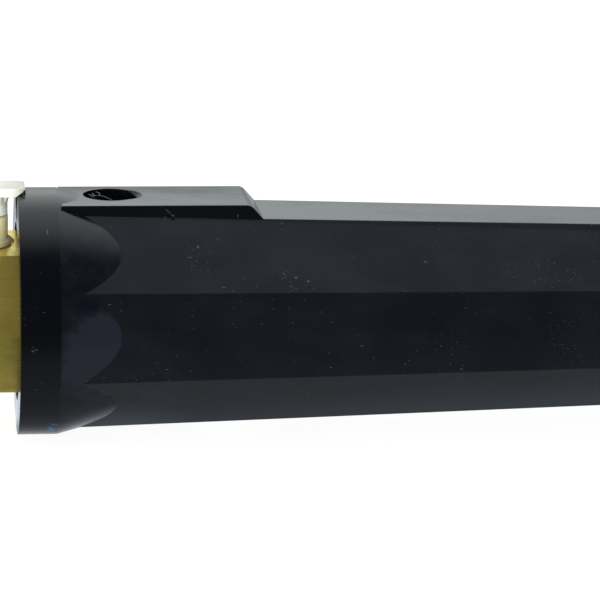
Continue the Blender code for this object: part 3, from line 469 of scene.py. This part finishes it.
def handle_haze_and_sheen(s):
    """Haze and a painted bluish sheen: strongest on the cone's front, weak along the grip, none on
    collar or pad.
    """
    x, y, z = s.axes(s.coordinates)
    start = COLLAR_X + COLLAR_LENGTH
    height = s.math("SUBTRACT", z, AXIS_Z)
    square = s.math("ADD", s.math("MULTIPLY", y, y), s.math("MULTIPLY", height, height))
    past = s.math("MULTIPLY", s.math("SUBTRACT", x, start), -tan(CONE_HALF_ANGLE))
    over = s.math("SUBTRACT", s.math("POWER", square, 0.5), s.math("ADD", past, COLLAR_RADIUS))
    cone = s.ramp(over, 0.02 * MM, 0.10 * MM, 1.0, 0.0)
    # more haze on the cone's front side, where its bluish tint is a painted sheen of the light from
    # the front
    front_haze_and_sheen = s.ramp(patch(s, at(13.5 * MM, -17 * MM, -3.5 * MM), (11 * MM, 9 * MM, 10 * MM)),
                    0.0, 0.8, 0.25, 1.3)
    mottle = s.ramp(s.noise(s.coordinates, 520, 4.0), 0.36, 0.64, 0.65, 1.35)
    on_cone = s.math("MULTIPLY", s.math("MULTIPLY", cone, s.math("MULTIPLY", front_haze_and_sheen, mottle)),
                     s.ramp(x, start - 0.1 * MM, start + 0.1 * MM))
    on_grip = s.math("MULTIPLY", s.math("SUBTRACT", 1.0, cone), 0.36)
    side = s.ramp(s.math("ABSOLUTE", y, 0.0), PAD_HALF_WIDTH, PAD_HALF_WIDTH + 0.4 * MM, 0.2, 1.0)
    return s.math("MULTIPLY", s.math("ADD", on_cone, on_grip), side)


def worn_pad(s):
    """The pad's top is duller towards its far edge."""
    _, y, z = s.axes(s.coordinates)
    top = s.ramp(z, AXIS_Z + PAD_TOP - 0.3 * MM, AXIS_Z + PAD_TOP - 0.1 * MM)
    return s.math("MULTIPLY", top, s.ramp(y, -PAD_HALF_WIDTH, PAD_HALF_WIDTH, 0.0, 0.14))


def drawn_metal(name, colour, roughness, tarnish, along=(60, 3500, 3500), metallic=1.0):
    """Bar metal with fine lines along one axis, tarnish clouds and small nicks."""
    s = Shader(name, colour, roughness, metallic)
    lines = s.noise(s.stretched(along), detail=3.0)
    clouds = s.noise(s.coordinates, 220, 5.0)
    nicks = specks(s, 2.5 * MM, 0.3, 0.06)
    base = s.mix(s.ramp(clouds, 0.35, 0.7), colour, tarnish)
    s.colour(s.mix(s.math("MULTIPLY", nicks, 0.6), base, tuple(c * 0.45 for c in colour)))
    s.roughness(s.math("ADD", s.ramp(lines, 0.3, 0.7, roughness - 0.06, roughness + 0.08),
                       s.ramp(clouds, 0.4, 0.7, 0.0, 0.1)))
    s.normal(s.bump(s.math("SUBTRACT", lines, nicks), 0.25, 0.02 * MM))
    return s.material


def clear_nylon(name, pale, deep):
    """Natural nylon: milky, some light passes through, faint flow marks between two tints."""
    s = Shader(name, pale, 0.34, IOR=1.53)
    s.set("Transmission Weight", 0.45)
    flow = s.noise(s.stretched((150, 400, 700)), detail=3.0)
    s.colour(s.mix(flow, pale, deep))
    s.roughness(s.ramp(flow, 0.3, 0.7, 0.3, 0.42))
    s.normal(s.bump(flow, 0.2, 0.05 * MM))
    return s.material


def plain_moulding(name, colour, roughness):
    """Plastic, fibre or rubber with a fine grain and a little unevenness."""
    s = Shader(name, colour, roughness)
    grain = s.noise(s.coordinates, 1500, 2.0)
    clouds = s.noise(s.coordinates, 120, 4.0)
    s.colour(s.mix(clouds, tuple(c * 0.8 for c in colour), tuple(c * 1.2 for c in colour)))
    s.roughness(s.ramp(clouds, 0.3, 0.7, roughness - 0.06, roughness + 0.08))
    s.normal(s.bump(grain, 0.25, 0.03 * MM))
    return s.material


DUST_COLOUR = (0.15, 0.165, 0.17)
SMEAR = at(5.2 * MM, -10.9 * MM, -15.6 * MM)    # a blue mark low on the collar
SMEAR_REACH = (1.2 * MM, 3.4 * MM, 2.6 * MM)
SMEAR_COLOUR = (0.05, 0.22, 0.50)
DUSTY = (                                       # centre and reach of each gathering of dust
    (at(19 * MM, -17.2 * MM, -7.0 * MM), (9 * MM, 4 * MM, 2.2 * MM)),
    (at(65 * MM, -16.3 * MM, -1.5 * MM), (5 * MM, 4 * MM, 3 * MM)),
    (at(84 * MM, -16.0 * MM, -1.0 * MM), (6 * MM, 4 * MM, 6 * MM)),
    (at(27 * MM, -12.5 * MM, 11.5 * MM), (4 * MM, 4 * MM, 4 * MM)),
    (at(41 * MM, -14.5 * MM, 8.5 * MM), (5 * MM, 4 * MM, 3 * MM)),
    (at(80 * MM, -13.5 * MM, 9.0 * MM), (9 * MM, 4 * MM, 4 * MM)))
FLAT_ON = (0, 0, 0)
CHIPS = (                                       # centre, reach and turn of single pale chips
    (at(1.8 * MM, -18.96 * MM, -1.2 * MM), (0.36 * MM, 0.4 * MM, 0.18 * MM), (0, 0.4, 0)),
    (at(4.2 * MM, -11.5 * MM, 15.1 * MM), (0.12 * MM, 0.8 * MM, 0.6 * MM), (0, 0, 0.1)),
    (at(18.5 * MM, -16.2 * MM, -4.7 * MM), (0.28 * MM, 0.4 * MM, 0.16 * MM), FLAT_ON),
    (at(25.5 * MM, -16.1 * MM, -5.3 * MM), (0.38 * MM, 0.4 * MM, 0.2 * MM), (0, -0.5, 0)),
    (at(26.8 * MM, -10.5 * MM, 12.4 * MM), (0.3 * MM, 0.3 * MM, 0.38 * MM), (0, 0.3, 0)),
    (at(25.5 * MM, -11.8 * MM, 11.1 * MM), (0.5 * MM, 0.2 * MM, 0.18 * MM), (0, 0, 0.1)),
    (at(39.7 * MM, -13.5 * MM, 8.9 * MM), (0.36 * MM, 0.3 * MM, 0.2 * MM), (0, 0.6, 0)),
    (at(41.4 * MM, -14.0 * MM, 8.4 * MM), (0.42 * MM, 0.3 * MM, 0.2 * MM), (0, 0.7, 0)),
    (at(43.2 * MM, -14.4 * MM, 8.0 * MM), (0.28 * MM, 0.3 * MM, 0.2 * MM), FLAT_ON),
    (at(61.6 * MM, -11.6 * MM, 10.1 * MM), (0.75 * MM, 0.25 * MM, 0.14 * MM), (0, 0.45, 0)),
    (at(81.5 * MM, -11.4 * MM, 9.6 * MM), (0.2 * MM, 0.3 * MM, 0.35 * MM), FLAT_ON),
    (at(33.2 * MM, -6.9 * MM, 16.4 * MM), (0.14 * MM, 0.3 * MM, 0.4 * MM), FLAT_ON),
    (at(22.6 * MM, -6.9 * MM, 17.15 * MM), (0.8 * MM, 0.3 * MM, 0.2 * MM), (0, 0.7, 0)),
    (at(23.3 * MM, -6.9 * MM, 16.5 * MM), (0.4 * MM, 0.3 * MM, 0.2 * MM), FLAT_ON),
    (at(22.2 * MM, -6.9 * MM, 16.15 * MM), (0.3 * MM, 0.3 * MM, 0.3 * MM), FLAT_ON))
# the handle's bluish haze colour is partly real scuffing and partly a painted sheen of the front
# light
BLACK = black_moulding("black_moulding", (0.0015, 0.0020, 0.0030), (0.0215, 0.0255, 0.039),
                       0.21, 1.0, 0.28, handle_haze_and_sheen, worn_pad, DUSTY)
BAKELITE = black_moulding("glass_filled_black", (0.005, 0.005, 0.0055), (0.012, 0.012, 0.013),
                          0.42, 0.4)
BRASS = drawn_metal("brass_bar", (0.76, 0.59, 0.12), 0.30, (0.60, 0.46, 0.08), metallic=0.7)
COPPER = drawn_metal("copper_alloy", (0.74, 0.42, 0.28), 0.3, (0.45, 0.24, 0.16),
                     (900, 60, 900))
BRONZE = drawn_metal("bronze", (0.60, 0.40, 0.20), 0.35, (0.45, 0.28, 0.14))
STEEL = drawn_metal("zinc_plated_steel", (0.54, 0.54, 0.53), 0.32, (0.46, 0.45, 0.43),
                    (900, 900, 900))
SPRING_STEEL = drawn_metal("spring_wire", (0.52, 0.53, 0.55), 0.25, (0.38, 0.38, 0.38),
                           (900, 900, 900))
NYLON = clear_nylon("natural_nylon", (0.96, 0.96, 0.88), (0.88, 0.88, 0.74))
# the sleeve's nylon: its deep yellow is a painted tint of the brass seen through it, over the
# nylon's own pale tone
SLEEVE_NYLON_PAINTED_BRASS_TINT = clear_nylon("nylon_painted_brass_tint", (0.92, 0.89, 0.56), (0.82, 0.78, 0.43))
WHITE_NYLON = plain_moulding("white_nylon", (0.78, 0.78, 0.74), 0.4)
FIBRE = plain_moulding("fibre_tube", (0.30, 0.14, 0.06), 0.55)
RUBBER = plain_moulding("rubber", (0.022, 0.022, 0.023), 0.62)

# Handle ---------------------------------------------------------------------------------------

def grip_radius(x):
    return GRIP_RADIUS - GRIP_TAPER * (x - GRIP_START)


def octagon(x, radius):
    """Return one cross-section of the grip, its corners rounded."""
    ring = []
    off_z = GRIP_OFF_Z + GRIP_TILT * (x - GRIP_START)
    centre = radius - CORNER_ROUND / cos(pi / 8)
    for corner in range(8):
        middle = pi / 8 + corner * pi / 4
        for k in range(CORNER_STEPS + 1):
            angle = middle - pi / 8 + pi / 4 * k / CORNER_STEPS
            y = centre * cos(middle) + CORNER_ROUND * cos(angle)
            z = centre * sin(middle) + CORNER_ROUND * sin(angle)
            ring.append(at(x, y + GRIP_OFF_Y, z + off_z))
    return ring


def handle():
    """The moulded handle, with everything that is cut out of it."""
    straight_end = GRIP_LENGTH - GRIP_END_ROUND
    rings = [octagon(GRIP_START, GRIP_RADIUS)]
    for k in range(13):
        angle = pi / 2 * k / 12
        rings.append(octagon(straight_end + GRIP_END_ROUND * sin(angle),
                             grip_radius(straight_end) - GRIP_END_ROUND * (1 - cos(angle))))
    shell = loft("handle", rings)
    collar = turned("collar", at(0), (1, 0, 0), [
        (0, COLLAR_RADIUS - COLLAR_EDGE),
        (COLLAR_EDGE, COLLAR_RADIUS),
        (COLLAR_LENGTH, COLLAR_RADIUS),
        (CONE_END, COLLAR_RADIUS - (CONE_END - COLLAR_LENGTH) * tan(CONE_HALF_ANGLE))], 256)
    outline = fillet([
        (PAD_START, PAD_TOP - PAD_DROP),
        (PAD_RAMP_TOP + PAD_RAMP_RUN * PAD_DROP, PAD_TOP - PAD_DROP),
        (PAD_RAMP_TOP, PAD_TOP),
        (PAD_START, PAD_TOP)], [0, 0, PAD_RAMP_CORNER, 0], 10)
    pad = side_plate("pad", outline, -PAD_HALF_WIDTH, PAD_HALF_WIDTH)
    join(shell, collar, bevel(pad, PAD_EDGE, 10, 60))
    notch = fillet([
        (-OVER, -NOTCH_HALF_WIDTH),
        (NOTCH_LENGTH, -NOTCH_HALF_WIDTH),
        (NOTCH_LENGTH, NOTCH_HALF_WIDTH),
        (-OVER, NOTCH_HALF_WIDTH)], [0, NOTCH_CORNER, NOTCH_CORNER, 0], 12)
    flat = -grip_radius(HANDLE_SCREW_X) * cos(pi / 8)
    cut(shell,
        rod("bore", at(-OVER), at(BORE_LENGTH), BORE_RADIUS),
        rod("cable_way", at(BORE_LENGTH - OVER), at(GLAND_SEAT_X + OVER), CABLE_WAY_RADIUS),
        rod("gland_seat", at(GLAND_SEAT_X), at(GRIP_LENGTH + OVER), GLAND_SEAT_RADIUS),
        rod("access", at(ACCESS_X, ACCESS_Y, ACCESS_DEPTH),
            at(ACCESS_X, ACCESS_Y, 2 * ACCESS_DEPTH), ACCESS_RADIUS, segments=96),
        rod("access_lip", at(LIP_X, ACCESS_Y, PAD_TOP - OVER), at(LIP_X, ACCESS_Y, PAD_TOP + OVER),
            LIP_RADIUS - OVER, LIP_RADIUS + OVER, segments=90),
        rod("nick", at(22.25 * MM, -6.3 * MM, 15.5 * MM), at(22.25 * MM, -7.4 * MM, 15.1 * MM),
            0.1 * MM, 0.55 * MM, segments=5),
        rod("nick", at(23.3 * MM, -6.6 * MM, 15.95 * MM), at(23.3 * MM, -7.2 * MM, 15.8 * MM),
            0.1 * MM, 0.4 * MM, segments=5),
        top_plate("nose_notch", notch, NOTCH_FLOOR, COLLAR_RADIUS + OVER),
        rod("screw_hole", at(HANDLE_SCREW_X, 0, -20 * MM), at(HANDLE_SCREW_X, 0, -8 * MM),
            SCREW_HOLE_RADIUS),
        rod("screw_seat", at(HANDLE_SCREW_X, 0, flat + SCREW_SEAT_DEPTH),
            at(HANDLE_SCREW_X, 0, flat - SCREW_SEAT_OVER), *SCREW_SEAT_RADII))
    finish(shade(shell, 9.5), BLACK, HOLDER, "handle_plastic", "handle_shell")


def burrs():
    """Threads left by drilling the access hole, and a raised nick on the pad's side."""
    threads = (                     # width, then the points along the thread, in millimetres
        (0.13, (10.6, 1.2, 17.4), (11.6, 1.4, 17.7), (12.6, 1.25, 17.85), (13.5, 0.4, 17.8),
         (14.5, -0.4, 17.5)),
        (0.16, (12.1, 4.0, 17.5), (12.3, 3.2, 17.95), (12.8, 2.4, 17.9), (12.7, 1.6, 17.6)),
        (0.11, (12.0, 4.1, 17.6), (11.7, 3.0, 17.8), (12.1, 2.0, 17.6), (12.6, 1.3, 17.7)),
        (0.13, (10.5, 2.0, 17.5), (11.0, 2.2, 17.8), (11.6, 1.8, 17.7), (12.0, 0.9, 17.4)),
        (0.2, (14.6, -4.5, 17.8), (15.0, -3.9, 17.9), (15.4, -3.7, 17.8), (15.7, -4.4, 17.7)),
        (0.16, (21.7, -6.92, 16.3), (22.0, -6.97, 16.9), (22.4, -6.95, 17.4),
         (22.9, -6.97, 16.9), (23.3, -6.92, 16.3)),
        (0.2, (21.9, -6.92, 15.9), (22.3, -7.0, 16.1), (22.6, -6.95, 16.5)))
    bm = bmesh.new()
    for width, *points in threads:
        thread = sliver("burr", [at(*(v * MM for v in point)) for point in points], width * MM)
        bm.from_mesh(thread.data)
        bpy.data.objects.remove(thread, do_unlink=True)
    finish(shade(piece("burrs", bm), 20), BLACK, HOLDER, "handle_plastic")


def thumb_fillet():
    """The rounded corner between the thumb pad's nose and the wall under it."""
    inside = WRAP_RADIUS - 0.2 * MM
    above = NOSE_UNDER + 0.1 * MM
    out, low = WRAP_RADIUS + NOSE_FILLET, NOSE_UNDER - NOSE_FILLET
    corner = [(inside, low), (inside, above), (out, above)]
    corner += [(out - NOSE_FILLET * sin(a), low + NOSE_FILLET * cos(a))
               for a in (pi / 2 * k / 8 for k in range(9))]
    rings = [[at(SPRING_X + far * cos(a), far * sin(a), z) for far, z in corner]
             for a in (radians(2.5 * k) for k in range(-12, 13))]
    finish(shade(loft("thumb_fillet", rings)), NYLON, JAW, "natural_nylon")


# CAD nodes whose shape is right, with their edges rounded ---------------------------------------

def refined(node, material, body, slot, width):
    """Return a copy of a CAD node with flat faces merged and sharp edges rounded."""
    bm = bmesh.new()
    bm.from_mesh(NODES[node].data)
    bmesh.ops.remove_doubles(bm, verts=bm.verts, dist=0.00001)
    bmesh.ops.dissolve_limit(bm, angle_limit=radians(0.6), verts=bm.verts, edges=bm.edges)
    obj = piece(node + "_fine", bm)
    if width > 0:
        bevel(obj, width, 2, 34)
    return finish(shade(obj, 34), material, body, slot, node)


SQUEEZED = {                        # height of the foot, share of the length left at the limit
    "coil_spring": (23.4 * MM, 0.72),
    "spring_sleeve": (29.9 * MM, 0.34)}
handle()
burrs()
thumb_fillet()
for node, material, body, slot, width in (
        ("body_bar", BRASS, HOLDER, "brass", 0.25 * MM),
        ("upper_jaw_lever", BRASS, JAW, "brass", 0.3 * MM),
        ("thumb_pad", NYLON, JAW, "natural_nylon", 0.0),
        ("spring_sleeve", SLEEVE_NYLON_PAINTED_BRASS_TINT, HOLDER, "natural_nylon", 0.0),
        ("coil_spring", SPRING_STEEL, HOLDER, "spring_steel", 0.0),
        ("upper_insulator", BAKELITE, JAW, "insulator", 0.3 * MM),
        ("lower_insulator", BAKELITE, HOLDER, "insulator", 0.3 * MM)):
    made = refined(node, material, body, slot, width)
    if node in SQUEEZED:
        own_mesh(made)
KEPT = {                            # nodes shown as they are, the steel ones apart
    "cable_gland_ring": RUBBER, "liner_sleeve": FIBRE, "handle_screw": WHITE_NYLON,
    "cable_saddle": COPPER, "lower_jaw_insert": COPPER, "upper_jaw_insert": COPPER,
    "pivot_washer_near": BRONZE, "pivot_washer_far": BRONZE, "pivot_bush": BRONZE}
STEEL_NODES = ("pivot_pin", "pivot_clip", "spring_seat_disc")
for node, obj in NODES.items():
    steel = STEEL if "screw" in node or node in STEEL_NODES else None
    material = KEPT.get(node, steel)
    if material is not None:
        obj.data.materials.clear()
        obj.data.materials.append(material)

# Stage, light and camera ------------------------------------------------------------------------

FRAME_WIDTH = 600                   # picture elements across
PIXEL = 0.1556 * MM                 # size of one at the holder's axis
VIEW_DISTANCE = 3000 * PIXEL
ELEVATION = radians(14.53)
YAW = radians(-7.6)
ROLL = radians(1.45)
AIM = at(43.97 * MM)                # the axis point nearest the middle of the picture
AIM_RISE = 8.38 * PIXEL             # how far over that point the middle lies


def camera():
    """A long lens, from the front and a little above and to the left, slightly rolled."""
    back = Vector((sin(YAW) * cos(ELEVATION), -cos(YAW) * cos(ELEVATION), sin(ELEVATION)))
    right = Vector((cos(YAW), sin(YAW), 0))
    up = back.cross(right)
    turned_right = cos(ROLL) * right + sin(ROLL) * up
    turned_up = cos(ROLL) * up - sin(ROLL) * right
    place = AIM + AIM_RISE * turned_up + VIEW_DISTANCE * back
    data = bpy.data.cameras.new("camera")
    data.sensor_width = 36.0
    data.lens = data.sensor_width * VIEW_DISTANCE / (FRAME_WIDTH * PIXEL)
    data.clip_start = 0.01
    obj = bpy.data.objects.new("camera", data)
    bpy.context.scene.collection.objects.link(obj)
    axes = Matrix((turned_right, turned_up, back)).transposed().to_4x4()
    obj.matrix_world = Matrix.Translation(place) @ axes
    bpy.context.scene.camera = obj


class Stage:
    """The node tree of the world or the floor, with a factor worked out from a position."""

    def __init__(self, tree):
        self.tree = tree

    def node(self, kind, **inputs):
        made = self.tree.nodes.new("ShaderNode" + kind)
        for socket, value in inputs.items():
            self.feed(value, made.inputs[socket.replace("_", " ")])
        return made

    def feed(self, value, socket):
        if isinstance(value, bpy.types.NodeSocket):
            self.tree.links.new(value, socket)
        else:
            socket.default_value = value

    def step(self, value, low, high, out_low, out_high):
        made = self.node("MapRange", Value=value, From_Min=low, From_Max=high, To_Min=out_low,
                         To_Max=out_high)
        made.interpolation_type = "SMOOTHSTEP"
        return made.outputs["Result"]

    def towards(self, direction, elevation):
        """Return the cosine of a direction's angle to one behind the holder at an elevation."""
        made = self.node("VectorMath")
        made.operation = "DOT_PRODUCT"
        self.feed(direction, made.inputs[0])
        self.feed((0, cos(elevation), sin(elevation)), made.inputs[1])
        return made.outputs["Value"]

    def math(self, operation, first, second):
        made = self.node("Math")
        made.operation = operation
        self.feed(first, made.inputs[0])
        self.feed(second, made.inputs[1])
        return made.outputs[0]


def floor():
    """A white floor. What it sends into the gloss falls off to the front and far behind.

    Under the holder it is strongest below the collar, where the light is.
    """
    bm = bmesh.new()
    bmesh.ops.create_grid(bm, x_segments=1, y_segments=1, size=6.0)
    obj = piece("floor", bm)
    made = bpy.data.materials.new("pale_floor")
    made.use_nodes = True
    made.node_tree.nodes.clear()
    s = Stage(made.node_tree)
    seen = s.node("Emission", Strength=0.95)
    paper = s.node("BsdfDiffuse", Color=(0.14, 0.14, 0.14, 1))
    both = s.node("AddShader")
    s.feed(seen.outputs[0], both.inputs[0])
    s.feed(paper.outputs[0], both.inputs[1])
    place = s.node("SeparateXYZ", Vector=s.node("TexCoord").outputs["Object"]).outputs
    along, behind = place["X"], place["Y"]
    share = s.math("ADD", s.step(along, COLLAR_X - 2 * MM, COLLAR_X + 1 * MM, 0.55, 1.45),
                   s.step(along, COLLAR_X + 15 * MM, COLLAR_X + 30 * MM, 0.0, -1.0))
    under = s.math("MULTIPLY", share, s.step(behind, -0.0103, 0.0, 0.0, 0.7))
    level = s.math("ADD", s.step(behind, -0.090, -0.020, 0.08, 0.25), under)
    level = s.math("ADD", level, s.step(behind, 0.0, 0.008, 0.0, 0.7))
    level = s.math("ADD", level, s.step(behind, 0.05, 0.20, 0.0, -0.7))
    glow = s.node("Emission", Color=(0.92, 1.01, 1.11, 1), Strength=level)
    pick = s.node("MixShader", Fac=s.node("LightPath").outputs["Is Camera Ray"])
    s.feed(glow.outputs[0], pick.inputs[1])
    s.feed(both.outputs[0], pick.inputs[2])
    s.feed(pick.outputs[0], s.node("OutputMaterial").inputs["Surface"])
    obj.data.materials.append(made)


def world():
    """A softbox over and behind the holder and a dim bluish front, in a room of even light."""
    made = bpy.data.worlds.new("studio")
    bpy.context.scene.world = made
    made.use_nodes = True
    made.node_tree.nodes.clear()
    s = Stage(made.node_tree)
    direction = s.node("TexCoord").outputs["Generated"]
    overhead = s.towards(direction, radians(50))
    behind = s.towards(direction, radians(32))
    level = s.math("ADD", s.step(overhead, 0.40, 0.97, 0.0, 1.05),
                   s.step(behind, 0.91, 0.985, 0.0, 0.5))
    front = s.node("Background", Color=(0.058, 0.074, 0.124, 1))
    softbox = s.node("Background", Color=(0.93, 0.985, 0.945, 1), Strength=level)
    gloss = s.node("AddShader")
    s.feed(front.outputs[0], gloss.inputs[0])
    s.feed(softbox.outputs[0], gloss.inputs[1])
    room = s.node("Background", Color=(0.95, 0.95, 0.95, 1))
    path = s.node("LightPath").outputs
    even = s.math("MAXIMUM", path["Is Camera Ray"], path["Is Diffuse Ray"])
    pick = s.node("MixShader", Fac=even)
    s.feed(gloss.outputs[0], pick.inputs[1])
    s.feed(room.outputs[0], pick.inputs[2])
    s.feed(pick.outputs[0], s.node("OutputWorld").inputs["Surface"])


def lamp(name, kind, energy, place, aim, **settings):
    """A light at a place, turned to a point."""
    data = bpy.data.lights.new(name, kind)
    data.energy = energy
    for setting, value in settings.items():
        setattr(data, setting, value)
    obj = bpy.data.objects.new(name, data)
    bpy.context.scene.collection.objects.link(obj)
    obj.location = place
    obj.rotation_euler = (aim - place).to_track_quat("-Z", "Y").to_euler()


camera()
floor()
world()
# a panel to the left that lights the bar and the thumb pad past the collar
lamp("left_softbox", "AREA", 0.31, Vector((-0.27, -0.14, 0.16)), at(-5 * MM, 0, 14 * MM), size=0.2)
# a narrow light from the front on the bar's end and the thumb pad, clear of the handle
lamp("nose_spot", "SPOT", 9.6, at(-8 * MM, -0.4, 0.08), at(-8.5 * MM, -4 * MM, 18 * MM),
     spot_size=radians(2.6), spot_blend=0.25, shadow_soft_size=0.002)
bpy.context.scene.view_settings.view_transform = "Standard"
